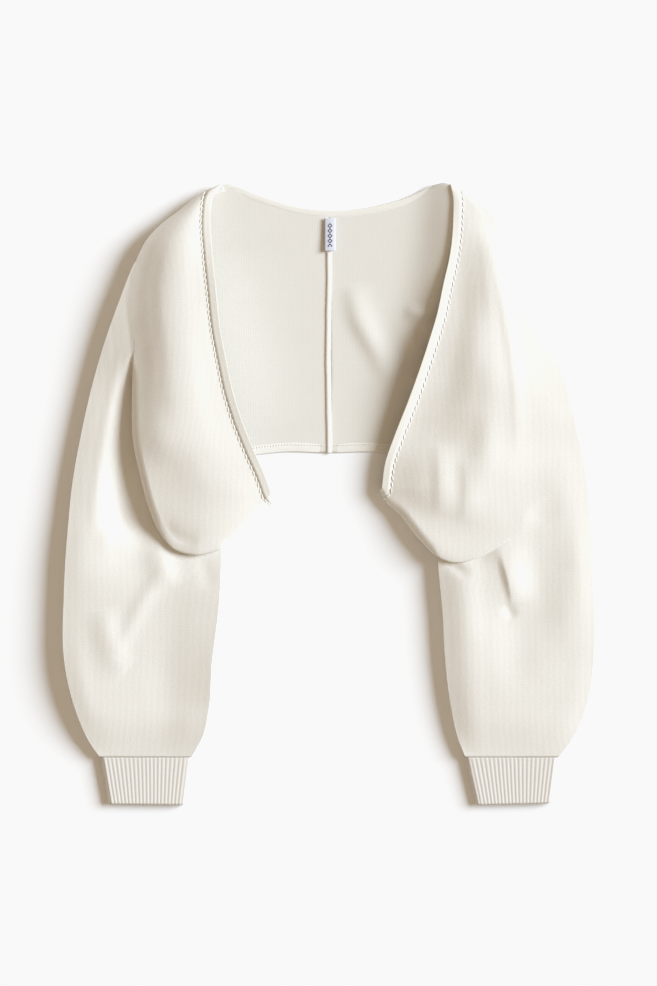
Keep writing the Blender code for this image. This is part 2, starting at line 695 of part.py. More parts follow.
def build_half(side, collection):
    """Back, front, sleeve, cuff and bands of one half."""
    half = Half(side)
    front = Front(half)
    sleeve = Sleeve(half, front)
    back = back_plan(half, front, sleeve.opening)
    finish_sheet(
        "back_" + side, [half.place(back, fold_relief(back, BACK_FOLDS[side]))], collection,
        knit_material("inside_knit_" + side, (0.80, 0.75, 0.67), 0.9), face_up=False,
    )
    finish_sheet(
        "front_" + side, [front.points, front.shoulder_roll, front.roll], collection,
        knit_material("front_knit_" + side, (0.87, 0.84, 0.77), 0.9),
    )
    finish_sheet(
        "sleeve_" + side,
        [sleeve.top, sleeve.outer_roll, sleeve.inner_roll, sleeve.floor], collection,
        knit_material("sleeve_knit_" + side, (0.86, 0.82, 0.75), 0.9),
    )
    finish_sheet(
        "front_band_" + side, [front.band()], collection,
        knit_material("front_band_knit_" + side, (0.84, 0.79, 0.70), 0.85),
        thickness=BAND_CLOTH, grow_out=True,
    )
    outer, inner = sleeve.cuff_corners
    drop = np.array([0, SEAM_GAP])
    finish(
        "cuff_" + side, [cuff_rings(half, outer - drop, inner - drop)], collection,
        knit_material("rib_" + side, (0.84, 0.80, 0.72), 0.9),
    )
    hem = back[-1]
    hem = hem[hem[:, 0] > SEAM_RIDGE / 2]
    hem = np.vstack([[SEAM_RIDGE / 2 + 1, hem[0, 1]], hem[:-1]])
    strip = edge_strip(hem, HEM_BAND, -normals_right(hem))
    finish_sheet(
        "hem_band_" + side, [half.place(strip, CLOTH + SEAM_GAP)], collection,
        knit_material("hem_band_knit_" + side, (0.79, 0.74, 0.66), 0.85),
        thickness=BAND_CLOTH, grow_out=True,
    )
    return half.place(back[0], 0)


def build():
    collection = bpy.data.collections.new("knitted_shrug")
    bpy.context.scene.collection.children.link(collection)
    necks = {side: build_half(side, collection) for side in ("left", "right")}
    line = np.vstack([necks["left"][::-1], necks["right"]])[:, :2]
    strip = edge_strip(line, NECK_BAND, normals_right(line))
    height = np.full(strip.shape[:2] + (1,), CLOTH + SEAM_GAP)
    finish_sheet(
        "neck_band", [np.concatenate([strip, height], axis=2)], collection,
        knit_material("neck_band_knit", (0.84, 0.80, 0.72), 0.85),
        thickness=BAND_CLOTH, grow_out=True,
    )
    top = NECK_EDGE["left"][0].up - NECK_BAND - SEAM_GAP
    seam = finish(
        "centre_back_seam", [seam_rings(top, HEM_EDGE[0].up - 1)], collection,
        knit_material("seam_knit", (0.84, 0.80, 0.71), 0.85),
    )
    work = bmesh.new()
    work.from_mesh(seam.data)
    bmesh.ops.holes_fill(work, edges=work.edges, sides=0)
    bmesh.ops.recalc_face_normals(work, faces=work.faces)
    work.to_mesh(seam.data)
    work.free()
    finish_sheet(
        "label", [label_sheet(top)], collection,
        knit_material("label_satin", (0.85, 0.87, 0.90), 0.4), thickness=LABEL[2],
    )


for existing in list(bpy.data.objects):
    bpy.data.objects.remove(existing)
build()
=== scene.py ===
import math

import bmesh
import bpy
import numpy as np
from mathutils import Matrix, Vector


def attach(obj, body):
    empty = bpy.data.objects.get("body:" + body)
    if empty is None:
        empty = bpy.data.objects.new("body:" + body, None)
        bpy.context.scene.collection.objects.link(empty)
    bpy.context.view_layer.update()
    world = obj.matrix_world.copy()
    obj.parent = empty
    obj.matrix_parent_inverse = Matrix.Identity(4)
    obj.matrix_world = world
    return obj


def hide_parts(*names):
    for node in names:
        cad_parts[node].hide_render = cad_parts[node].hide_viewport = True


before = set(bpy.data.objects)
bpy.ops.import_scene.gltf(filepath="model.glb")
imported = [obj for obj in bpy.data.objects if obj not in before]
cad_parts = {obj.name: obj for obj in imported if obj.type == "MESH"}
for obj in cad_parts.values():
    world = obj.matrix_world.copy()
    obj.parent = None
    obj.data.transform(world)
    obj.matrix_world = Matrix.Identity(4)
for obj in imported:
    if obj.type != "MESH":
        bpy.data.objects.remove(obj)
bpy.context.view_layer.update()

# The table top, the light and the view
# The shrug lies on a white table and is photographed from straight above. A large soft lamp
# stands beyond its right side, and the white room fills the shadows.

MM = 0.001
TABLE_DROP = 0.4  # the table's face lies this far below the cloth
CAMERA_HEIGHT = 4.0
CAMERA_UP = 1.65  # the middle of the picture, above the middle of the garment
SENSOR = 36.0
PICTURE_HEIGHT = 0.986 * 1.1  # what the camera sees of the table, in metres
WHITE_LEVEL = 0.945  # the white of the picture stops just short of full white


class Shade:
    """An output of a shader node. Sums and products of it add the Math nodes they need."""

    def __init__(self, tree, socket=None):
        self.tree = tree
        self.socket = socket

    def node(self, kind, settings, values, output=0):
        """A new node: its settings first, then the values or links of its sockets."""
        made = self.tree.nodes.new(kind)
        for name, value in settings.items():
            setattr(made, name, value)
        for name, value in values.items():
            if isinstance(value, Shade):
                self.tree.links.new(value.socket, made.inputs[name])
            else:
                made.inputs[name].default_value = value
        return Shade(self.tree, made.outputs[output])

    def math(self, operation, *values):
        return self.node("ShaderNodeMath", {"operation": operation}, dict(enumerate(values)))

    def of(self, operation, *others):
        """A function of this value, such as its cosine, or the lower of it and another."""
        return self.math(operation, self, *others)

    def mix(self, low, high):
        """The colour between two colours, with this value as the share of the second."""
        values = {"Factor": self, 6: low, 7: high}
        return self.node("ShaderNodeMix", {"data_type": "RGBA"}, values, 2)

    def __add__(self, other):
        return self.math("ADD", self, other)

    def __sub__(self, other):
        return self.math("SUBTRACT", self, other)

    def __rsub__(self, other):
        return self.math("SUBTRACT", other, self)

    def __mul__(self, other):
        return self.math("MULTIPLY", self, other)

    __radd__ = __add__
    __rmul__ = __mul__


def new_material(name, roughness, **constants):
    """A material, its Principled shader and a Shade to start its pattern from."""
    material = bpy.data.materials.new(name)
    material.use_nodes = True
    tree = material.node_tree
    shader = tree.nodes["Principled BSDF"]
    shader.inputs["Roughness"].default_value = roughness
    for socket, value in constants.items():
        shader.inputs[socket.replace("_", " ")].default_value = value
    return material, shader, Shade(tree)


def noise(start, place, scale, detail=2.0):
    values = {"Vector": place, "Scale": scale, "Detail": detail, "Roughness": 0.55}
    return start.node("ShaderNodeTexNoise", {"noise_dimensions": "3D"}, values)


def feed(source, shader, socket):
    source.tree.links.new(source.socket, shader.inputs[socket])


table_white, shader, start = new_material("table_white", 0.75)
place = start.node("ShaderNodeTexCoord", {}, {}, 3)
cloud = noise(start, place, 3.0)
feed(cloud.mix((0.955, 0.955, 0.955, 1), (0.975, 0.975, 0.975, 1)), shader, "Base Color")

scene = bpy.context.scene
work = bmesh.new()
bmesh.ops.create_grid(work, x_segments=8, y_segments=8, size=6)
data = bpy.data.meshes.new("table_top")
work.to_mesh(data)
work.free()
data.materials.append(table_white)
table_top = bpy.data.objects.new("table_top", data)
scene.collection.objects.link(table_top)
table_top.location.z = -TABLE_DROP * MM

room = bpy.data.worlds.new("white_room")
room.use_nodes = True
room.node_tree.nodes["Background"].inputs["Color"].default_value = (1.0, 0.80, 0.58, 1)
room.node_tree.nodes["Background"].inputs["Strength"].default_value = 0.43
scene.world = room

lamp = bpy.data.lights.new("side_lamp", "SUN")
lamp.energy = 4.92
lamp.color = (0.775, 0.883, 1.0)
lamp.angle = math.radians(31)
side_lamp = bpy.data.objects.new("side_lamp", lamp)
toward = Vector((0.82, 0.24, 0.51))
side_lamp.rotation_euler = toward.to_track_quat("Z", "Y").to_euler()
scene.collection.objects.link(side_lamp)

lens = bpy.data.cameras.new("overhead")
lens.sensor_width = SENSOR
lens.sensor_fit = "AUTO"
lens.lens = SENSOR * CAMERA_HEIGHT / PICTURE_HEIGHT
lens.clip_end = 20
camera = bpy.data.objects.new("overhead", lens)
camera.location = (0.0, CAMERA_UP * MM, CAMERA_HEIGHT)
scene.collection.objects.link(camera)
scene.camera = camera

photo_tone = scene.view_settings
photo_tone.view_transform = "Standard"
photo_tone.look = "None"
photo_tone.use_curve_mapping = True
photo_tone.curve_mapping.extend = "HORIZONTAL"
photo_tone.curve_mapping.curves[3].points[1].location = (1.0, WHITE_LEVEL)
photo_tone.curve_mapping.update()

# The left and right halves: front and sleeve in one
# Fine cotton blend jersey, knitted flat and steamed. The cloth comes up from the floor round
# the shoulder as the front, sags over the sleeve in a deep fold and runs on below it as the tube.

EDGE_RADIUS = 6.0
FLOOR_LAP = 1.5
FOLD_OPENING = 56.0  # distance over which the front's fold opens from nothing
FOLD_ROLL = 8.0
FOLD_RETURN = 24.0  # how far the front turns back underneath
FLANK_SLOPE = 26.0  # in degrees, where the fold's roll starts
FOLD_ROOM = 3.6  # the return lies at least this far below the front's face
SLEEVE_ROOM = (4.0, 8.0)  # the sleeve's fall below the front, and the distance it takes
TIP_LENGTH = 34.0  # stretch over which the fold narrows towards the front's tip
TIP_CLOSING = 0.9
LAYER_GAP = 1.6  # between the front's return and the sleeve below it
JOIN_BLEND = 20.0  # distance over which front and sleeve take the same height
JOIN_MORE = 10.0
UNDER_LAP = 9.0  # the return keeps this far round the sleeve's inner edge
UNDER_FALL = 12.0  # distance over which it falls from there to the floor
UNDER_SHARE = 0.93
SHOULDER_TOP = 34.0  # stretch of the shoulder fold taken as the front's upper edge
FRONT_BAND = 9.5
CLOTH = 1.5
STEP = 2.6  # distance between the mesh's own points
LEAST_COLUMNS = 40
DENSE = 60
EDGE_STEPS, ROLL_STEPS, RETURN_STEPS, FLOOR_COLUMNS = 8, 13, 6, 9
WELD = 0.00002  # points closer than this are one, in metres
SHARP = 75  # an edge that turns by more degrees than this is shaded as a corner

OUTER_EDGE = {
    "left": [(117, 340), (136, 332), (167, 309), (185, 295), (199, 280), (215, 248),
             (228, 215), (251, 148), (272, 61), (280, 16), (286, -44), (290, -116),
             (290, -176), (284, -212), (274, -245), (263, -270), (251, -288)],
    "right": [(134, 340), (148, 333), (163, 324), (178, 314), (194, 289), (216, 242),
              (227, 215), (251, 146), (273, 64), (280, 28), (286, -28), (289, -94),
              (291, -154), (286, -215), (278, -245), (267, -268), (253, -288)],
}
JOIN_UP = {"left": 206, "right": 28}
FRONT_EDGE = {
    "left": [(117, 340), (126, 328), (129, 308), (127, 264), (123, 226), (118, 180),
             (112, 148), (105, 115), (95, 82), (82, 49), (70, 22), (62, 1)],
    "right": [(134, 340), (137, 326), (137, 306), (133, 262), (126, 231), (119, 198),
              (109, 165), (98, 132), (86, 99), (73, 66), (62, 33), (58, 6)],
}
FRONT_FOLD = {
    "left": [(231, 206), (221, 195), (214, 177), (214, 148), (215, 105), (214, 61),
             (205, 16), (196, -16), (185, -41), (170, -59), (147, -66), (125, -62),
             (106, -54), (86, -35), (71, -14), (62, 1)],
    "right": [(280, 28), (258, 13), (235, 1), (216, -14), (208, -36), (194, -53),
              (175, -64), (156, -72), (134, -74), (119, -68), (101, -51), (79, -23),
              (65, -6), (58, 6)],
}
JOIN_LENGTH = {"left": 42, "right": 118}
FOLD_TURN = {"left": 262, "right": 0}
ARMHOLE = {
    "left": [(206, 140), (176, 82), (119, 16)],
    "right": [(190, -30), (156, -16), (120, 16)],
}
INNER_EDGE = {
    "left": [(119, 16), (117, -63), (120, -127), (127, -182), (131, -237), (137, -263),
             (150, -288)],
    "right": [(120, 16), (120, -72), (125, -129), (128, -182), (134, -231), (141, -264),
              (150, -288)],
}
# Heights across the fronts and the sleeves: each row starts with its "up", and its heights go
# from the outer edge, share 0, to the inner edge, share 1
FRONT_SHARES = (0, 0.1, 0.25, 0.4, 0.5, 0.6, 0.8, 0.92, 1)
FRONT_RELIEF = {
    "left": [
        (340, 11, 11, 12, 12, 12, 12, 12, 11.5, 11),
        (318, 15, 17, 19.5, 21, 21.5, 21.5, 21, 20.5, 20),
        (280, 19, 22, 27, 31, 32.5, 33, 32, 31, 30.5),
        (225, 21, 24.5, 31.2, 37.5, 39.6, 40.5, 40, 39.5, 39.5),
        (190, 24, 28, 35, 41, 42.7, 43.3, 42.5, 41.5, 41.5),
        (150, 27, 31.3, 38.6, 44, 45.3, 45.6, 43.8, 42.8, 42.8),
        (104, 29.5, 34.3, 41.3, 45.9, 46.8, 46.7, 44.5, 43.5, 43.5),
        (60, 32.5, 37.5, 43.5, 45.7, 46, 45.7, 43.5, 42, 41.7),
        (27, 32.5, 35, 38.5, 41.5, 42.7, 42.7, 41, 39.5, 38.5),
        (-5, 31.5, 33, 35.5, 38, 39.2, 39.5, 38, 35.5, 34),
        (-27, 30.5, 32, 34.5, 36.3, 37, 37, 35.5, 33.5, 32),
        (-45, 29.5, 30.5, 32, 33.5, 34.3, 34.5, 33.5, 32, 31),
        (-68, 29.5, 30, 30.5, 31, 31.2, 31.2, 31, 30.5, 30),
    ],
    "right": [
        (340, 10, 10, 10.5, 11, 11, 11, 11, 11, 11),
        (324, 12, 13, 13.5, 14, 14, 14, 14, 13.5, 13),
        (291, 13, 14, 15, 16, 16.3, 16.3, 16, 15.6, 15.2),
        (258, 15.5, 17.5, 19.5, 21, 20.6, 19.3, 17, 16.3, 16.5),
        (225, 20, 22.5, 25, 26.8, 26.6, 24.5, 20, 19, 19),
        (160, 26, 28, 30.4, 32.5, 33.4, 33, 27, 25.3, 25.5),
        (126, 27, 28.5, 31.5, 34.3, 35, 33.3, 26, 24.6, 25),
        (93, 25, 26.8, 29.2, 31.6, 32.2, 30.3, 23.6, 21.5, 22),
        (60, 24, 25, 26.5, 28.8, 30, 26.5, 21, 18.5, 18),
        (27, 25, 26.5, 27.5, 30, 31, 28.5, 24.5, 18.5, 15),
        (-5, 24, 26, 26, 27.5, 28.5, 28.5, 25, 19, 15),
        (-27, 24, 25, 25, 25.8, 26.5, 26.5, 24, 21.5, 20),
        (-50, 22, 22.5, 22.5, 23.5, 24, 24, 23.5, 23, 22),
        (-76, 21, 21, 22, 23, 23.5, 23.5, 23, 22.5, 22),
    ],
}
# The line that the left front's flank starts from, and the fall of the strip beyond it
FLANK_LINE = [(100, 345), (136, 332), (167, 309), (185, 295), (199, 280), (211, 255), (219, 228),
              (220, 200), (217, 175), (215, 150), (215, 105), (214, 61), (205, 16), (196, -16),
              (185, -41), (170, -59), (147, -66)]
STRIP_FALL = 0.22
STRIP_WIDTH = 20.0
SLEEVE_SHARES = (0, 0.1, 0.19, 0.25, 0.34, 0.5, 0.7, 0.86, 1)
SLEEVE_RELIEF = {
    "left": [
        (206, 20, 22.5, 25, 26, 22, 10, 10, 10, 10),
        (176, 19, 22, 24.5, 25.5, 18, 9, 9, 10, 10),
        (150, 18, 21, 23.5, 23.5, 12, 9, 9, 10, 10),
        (104, 17, 19.2, 20.3, 17.2, 10.5, 9, 9, 10, 10),
        (60, 17, 19.6, 20.6, 17.6, 11, 8.5, 9, 10, 10),
        (27, 17, 19.6, 20.6, 17.4, 11, 8.5, 9, 10, 10),
        (-5, 17.5, 20, 20.8, 17.6, 12, 9.5, 9, 10, 10),
        (-27, 18.4, 20.8, 21.5, 19.2, 13.5, 11, 12, 13, 14),
        (-44, 19.3, 21.8, 22.3, 21.8, 18.8, 15.5, 16.5, 18, 20),
        (-72, 20, 22.5, 23, 22.8, 22, 21.5, 23.5, 26, 28),
        (-100, 20, 22.5, 23.8, 24.3, 24.8, 25.5, 27.5, 30.5, 33),
        (-137, 20, 22.3, 23.6, 24.3, 25, 26, 28, 31.5, 34.5),
        (-225, 19, 21.5, 22, 22.2, 22.4, 22.7, 23.2, 26.3, 29.5),
        (-250, 17, 19, 20, 20.3, 20.6, 21, 22, 24.5, 26),
        (-288, 11, 11, 11, 11, 11, 11, 11, 11, 11),
    ],
    "right": [
        (28, 25, 26.5, 27, 24, 18, 12, 11, 11, 11),
        (-36, 23, 24.5, 24.3, 23.7, 23, 21, 16, 15, 12.5),
        (-72, 23, 24.5, 23.3, 22.2, 21.2, 21.8, 19.3, 19, 14),
        (-93, 22.5, 24, 23, 21.8, 20.5, 21.8, 20.3, 20.2, 14.5),
        (-137, 22, 23, 22.5, 21.3, 19.5, 18, 19.3, 20.2, 14.5),
        (-181, 22, 22.5, 22.2, 21.9, 21.2, 19.5, 20.3, 19.6, 14),
        (-225, 21, 22, 22, 21.8, 21.5, 21, 20.3, 18.8, 13.3),
        (-250, 18, 19.5, 20, 20, 20, 19.5, 18.7, 17.3, 12.5),
        (-288, 11, 11, 11, 11, 11, 11, 11, 11, 11),
    ],
}
# Each fold: the points it runs through, its half width on the left and on the right of that
# direction, and its height, which is below zero for a trough
FRONT_FOLDS = {
    "left": [
        ([(180, -30), (168, -46), (144, -52)], 8, 8, -1.4),
    ],
    "right": [
        ([(181, 256), (194, 190), (204, 120), (206, 40)], 9, 6, 0.8),
        ([(120, 56), (122, 20), (122, -24)], 15, 8, 1.8),
        ([(150, 40), (152, 0), (148, -32)], 16, 8, 1.6),
    ],
}
SLEEVE_FOLDS = {
    "left": [
        ([(189, -36), (185, -66), (172, -102)], 17, 13, 3.0),
        ([(176, -77), (200, -112), (231, -176)], 9, 10, 1.5),
        ([(246, -124), (240, -158), (233, -180), (220, -192)], 15, 13, 2.3),
        ([(141, -66), (134, -84), (130, -104)], 9, 9, -0.8),
    ],
    "right": [
        ([(186, -36), (190, -66), (196, -90), (203, -122)], 16, 4.5, 3.2),
        ([(126, -70), (140, -80), (154, -90)], 6, 6, -1.6),
        ([(195, -120), (198, -128), (203, -136)], 6, 6, -1.5),
    ],
}


def run_of(line):
    """The distance of each point of a chain from its start."""
    return np.r_[0, np.cumsum(np.linalg.norm(np.diff(line, axis=0), axis=1))]


def through(knots, values, at):
    """A smooth curve through the values at the knots, read at `at`."""
    knots, values = np.array(knots, float), np.array(values, float)
    values = values.reshape(values.shape + (1,) * (at.ndim + 1 - values.ndim))
    values = np.broadcast_to(values, (len(knots),) + at.shape)
    slopes = np.gradient(values, knots, axis=0)
    at = np.clip(at, knots[0], knots[-1])
    cell = np.clip(np.searchsorted(knots, at, side="right") - 1, 0, len(knots) - 2)
    step = knots[cell + 1] - knots[cell]
    t = (at - knots[cell]) / step
    low, low_slope = (np.take_along_axis(part, cell[None], 0)[0] for part in (values, slopes))
    cell = cell + 1
    high, high_slope = (np.take_along_axis(part, cell[None], 0)[0] for part in (values, slopes))
    return (
        (2 * t**3 - 3 * t**2 + 1) * low + (t**3 - 2 * t**2 + t) * low_slope * step
        + (3 * t**2 - 2 * t**3) * high + (t**3 - t**2) * high_slope * step
    )


def smooth_line(knots, count=3 * DENSE):
    """A smooth curve through the knots, as a dense chain of points."""
    knots = np.array(knots, float)
    length = run_of(knots)
    at = np.linspace(0, length[-1], count)
    return np.stack([through(length, knots[:, axis], at) for axis in (0, 1)], axis=1)


def read_along(length, rows, where):
    """The rows that belong to the lengths along a chain, read between them."""
    return np.stack([np.interp(where, length, column) for column in rows.T], axis=1)


def at_lengths(line, where):
    return read_along(run_of(line), line, where)


def evenly(line, count):
    return at_lengths(line, np.linspace(0, run_of(line)[-1], count + 1))


def steps_for(line):
    return max(2, round(run_of(line)[-1] / STEP))


def normals_right(line):
    """Unit vectors across a chain, to the right of its direction."""
    along = np.gradient(line, axis=0)
    along /= np.linalg.norm(along, axis=1)[:, None]
    return np.stack([along[:, 1], -along[:, 0]], axis=1)


def ramp(t):
    """An even rise from 0 to 1 with level ends."""
    t = np.clip(t, 0, 1)
    return t * t * (3 - 2 * t)


def relief(rows, shares, share, up):
    """A table of heights, read smoothly at a share of the way across and a height `up`."""
    rows = np.array(rows[::-1], float)
    across = np.array([through(shares, row[1:], share) for row in rows])
    return through(rows[:, 0], across, up)


def beside(plan, line):
    """How far each plan point is right of a chain, and the share of the chain passed there."""
    first = line[:-1]
    along = line[1:] - first
    offset = plan[..., None, :] - first
    share = np.clip((offset * along).sum(-1) / (along**2).sum(-1), 0, 1)
    away = np.linalg.norm(offset - share[..., None] * along, axis=-1)
    best = away.argmin(-1)[..., None]
    turned = along[:, 1] * offset[..., 0] - along[:, 0] * offset[..., 1]
    side = np.sign(np.take_along_axis(turned, best, -1)[..., 0])
    passed = (best[..., 0] + np.take_along_axis(share, best, -1)[..., 0]) / len(first)
    return np.take_along_axis(away, best, -1)[..., 0] * np.where(side == 0, 1, side), passed


def out_at(line, up):
    order = np.argsort(line[:, 1])
    return np.interp(up, line[order, 1], line[order, 0])


def fold_relief(plan, folds):
    """The sum of soft folds, each fading towards its two ends."""
    height = np.zeros(plan.shape[:-1])
    for points, left_width, right_width, rise in folds:
        away, passed = beside(plan, smooth_line(points, 14))
        width = np.where(away > 0, right_width, left_width)
        fading = np.sin(np.pi * np.clip(passed, 0, 1)).clip(0) ** 0.7
        height += rise * fading * np.exp(-((away / width) ** 2))
    return height


def patch(top, bottom, left, right):
    """A grid of plan points between four edge chains; its rows run from `top` to `bottom`."""
    down = np.linspace(0, 1, len(left))[:, None, None]
    across = np.linspace(0, 1, len(top))[None, :, None]
    corners = (
        (1 - down) * (1 - across) * top[0] + (1 - down) * across * top[-1]
        + down * (1 - across) * bottom[0] + down * across * bottom[-1]
    )
    between_rows = (1 - down) * top[None] + down * bottom[None]
    between_sides = (1 - across) * left[:, None] + across * right[:, None]
    return between_rows + between_sides - corners


def knit_map(points):
    """Where each point lies in the flat cloth: lengths across and along, in millimetres."""
    across = np.diff(points, axis=1)
    run = np.cumsum(np.hypot(across[..., 0], across[..., 2]) * np.sign(across[..., 0]), axis=1)
    wide = points[:, :1, 0] + np.concatenate([np.zeros((len(points), 1)), run], axis=1)
    down = np.diff(points, axis=0)
    fall = np.cumsum(np.hypot(down[..., 1], down[..., 2]), axis=0)
    deep = points[:1, :, 1] - np.concatenate([np.zeros((1, points.shape[1])), fall], axis=0)
    return np.stack([wide, deep], axis=-1)


def strip_map(strip, edge_map, away):
    """The same for a strip that leaves an edge in the plan direction `away`."""
    run = np.cumsum(np.linalg.norm(np.diff(strip, axis=0), axis=2), axis=0)
    run = np.concatenate([np.zeros((1, strip.shape[1])), run], axis=0)
    return edge_map[None] + run[..., None] * away[None]


def lay(work, points, cloth_map):
    """A grid of the sheet carried to rows of points, with the flat cloth as its UV map."""
    rows, columns = points.shape[0] - 1, points.shape[1] - 1
    made = bmesh.ops.create_grid(work, x_segments=columns, y_segments=rows, size=0.5)
    layer = work.loops.layers.uv.get("UVMap") or work.loops.layers.uv.new("UVMap")
    for vert in made["verts"]:
        row, column = round((0.5 - vert.co.y) * rows), round((vert.co.x + 0.5) * columns)
        vert.co = points[row, column] * MM
        for loop in vert.link_loops:
            loop[layer].uv = cloth_map[row, column] * MM


def add_piece(name, work, material, nodes=()):
    """A smooth piece of the garment's one body, in place of the CAD's nodes."""
    data = bpy.data.meshes.new(name)
    work.to_mesh(data)
    work.free()
    data.shade_smooth()
    data.materials.append(material)
    piece = bpy.data.objects.new(name, data)
    scene.collection.objects.link(piece)
    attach(piece, "root")
    if nodes:
        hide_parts(*nodes)
    return piece


def finish_sheet(name, work, material, thickness, nodes):
    """Welds the grids into one sheet, turns its face out and gives it its thickness."""
    bmesh.ops.remove_doubles(work, verts=work.verts, dist=WELD)
    bmesh.ops.dissolve_degenerate(work, dist=WELD / 2, edges=work.edges)
    bmesh.ops.recalc_face_normals(work, faces=work.faces)
    highest = max(work.faces, key=lambda face: face.calc_center_median().z)
    if highest.normal.z <= 0:
        bmesh.ops.reverse_faces(work, faces=work.faces)
    piece = add_piece(name, work, material, nodes)
    piece.data.set_sharp_from_angle(angle=math.radians(SHARP))
    cloth = piece.modifiers.new("cloth", "SOLIDIFY")
    cloth.thickness = thickness * MM
    cloth.offset = -1
    return piece


class Half:
    """One half's outlines in plan, seen from the centre back seam, and its heights."""

    def __init__(self, side):
        self.side = side
        self.sign = -1 if side == "left" else 1
        self.outer = smooth_line(OUTER_EDGE[side], 4 * DENSE)
        self.inner = smooth_line(INNER_EDGE[side])
        self.front_edge = smooth_line(FRONT_EDGE[side])
        join = int(np.argmin(abs(self.outer[:, 1] - JOIN_UP[side])))
        self.shoulder = self.outer[: join + 1]
        self.sleeve_outer = self.outer[join:]
        knots = [tuple(self.shoulder[-1])] + FRONT_FOLD[side][1:]
        self.fold = smooth_line(knots, 4 * DENSE)
        self.fold_length = run_of(self.fold)
        self.join_line = self.fold[self.fold_length <= JOIN_LENGTH[side] + JOIN_MORE]
        lowest = int(self.fold[:, 1].argmin())
        self.front_inner = np.vstack([self.front_edge, self.fold[lowest:]])
        self.front_outer = smooth_line(FLANK_LINE) if side == "left" else self.outer

    def fold_share(self, length):
        opened = ramp((length - JOIN_LENGTH[self.side]) / FOLD_OPENING)
        to_tip = (length - self.fold_length[-1] + TIP_LENGTH) / TIP_LENGTH
        return opened * (1 - TIP_CLOSING * ramp(to_tip))

    def front_height(self, plan):
        out, up = plan[..., 0], plan[..., 1]
        outer, inner = out_at(self.front_outer, up), out_at(self.front_inner, up)
        share = (outer - out) / np.maximum(outer - inner, 1)
        height = relief(FRONT_RELIEF[self.side], FRONT_SHARES, np.clip(share, 0, 1), up)
        height = height - STRIP_FALL * np.clip(out - outer, 0, STRIP_WIDTH)
        return height + fold_relief(plan, FRONT_FOLDS[self.side])

    def sleeve_height(self, plan):
        out, up = plan[..., 0], plan[..., 1]
        outer, inner = out_at(self.outer, up), out_at(self.inner, up)
        share = np.clip((outer - out) / (outer - inner), 0, 1)
        height = relief(SLEEVE_RELIEF[self.side], SLEEVE_SHARES, share, up)
        height = height + fold_relief(plan, SLEEVE_FOLDS[self.side])
        near_join = np.exp(-((beside(plan, self.join_line)[0] / JOIN_BLEND) ** 2))
        front = self.front_height(plan)
        height += (front - height) * near_join
        below = np.clip(beside(plan, self.fold)[0], 0, None)
        fall, run = SLEEVE_ROOM
        return np.where(below > 0, np.minimum(height, front - fall * ramp(below / run)), height)

    def under_height(self, plan):
        """What the front's return lies on: the sleeve, falling to the floor beside it."""
        inside = plan[..., 0] - out_at(self.inner, plan[..., 1]) + UNDER_LAP
        share = np.full(inside.shape, UNDER_SHARE)
        level = relief(SLEEVE_RELIEF[self.side], SLEEVE_SHARES, share, plan[..., 1])
        edge = EDGE_RADIUS + (level - EDGE_RADIUS) * ramp(inside / UNDER_LAP)
        fall = EDGE_RADIUS * np.exp(-((np.clip(-inside, 0, None) / UNDER_FALL) ** 2))
        on_sleeve = np.maximum(self.sleeve_height(plan), edge)
        beside_it = np.where(inside > 0, edge, np.maximum(fall, 1))
        return LAYER_GAP + np.where(inside > UNDER_LAP, on_sleeve, beside_it)

    def place(self, plan, height):
        height = np.broadcast_to(height, plan.shape[:-1])
        return np.stack([self.sign * plan[..., 0], plan[..., 1], height], axis=-1)

    def floor_roll(self, edge, inward, heights, lap=0):
        """The quarter turn from an outer edge down to the floor, with a flat lap if wanted."""
        strip = []
        for turn in np.linspace(0, np.pi / 2, EDGE_STEPS):
            plan = edge + inward * EDGE_RADIUS * (1 - np.cos(turn))
            strip.append(self.place(plan, heights * (1 - np.sin(turn))))
        if lap:
            strip.append(self.place(edge + inward * (EDGE_RADIUS + lap), 0))
        return np.array(strip)


BAND_COLUMNS = 4


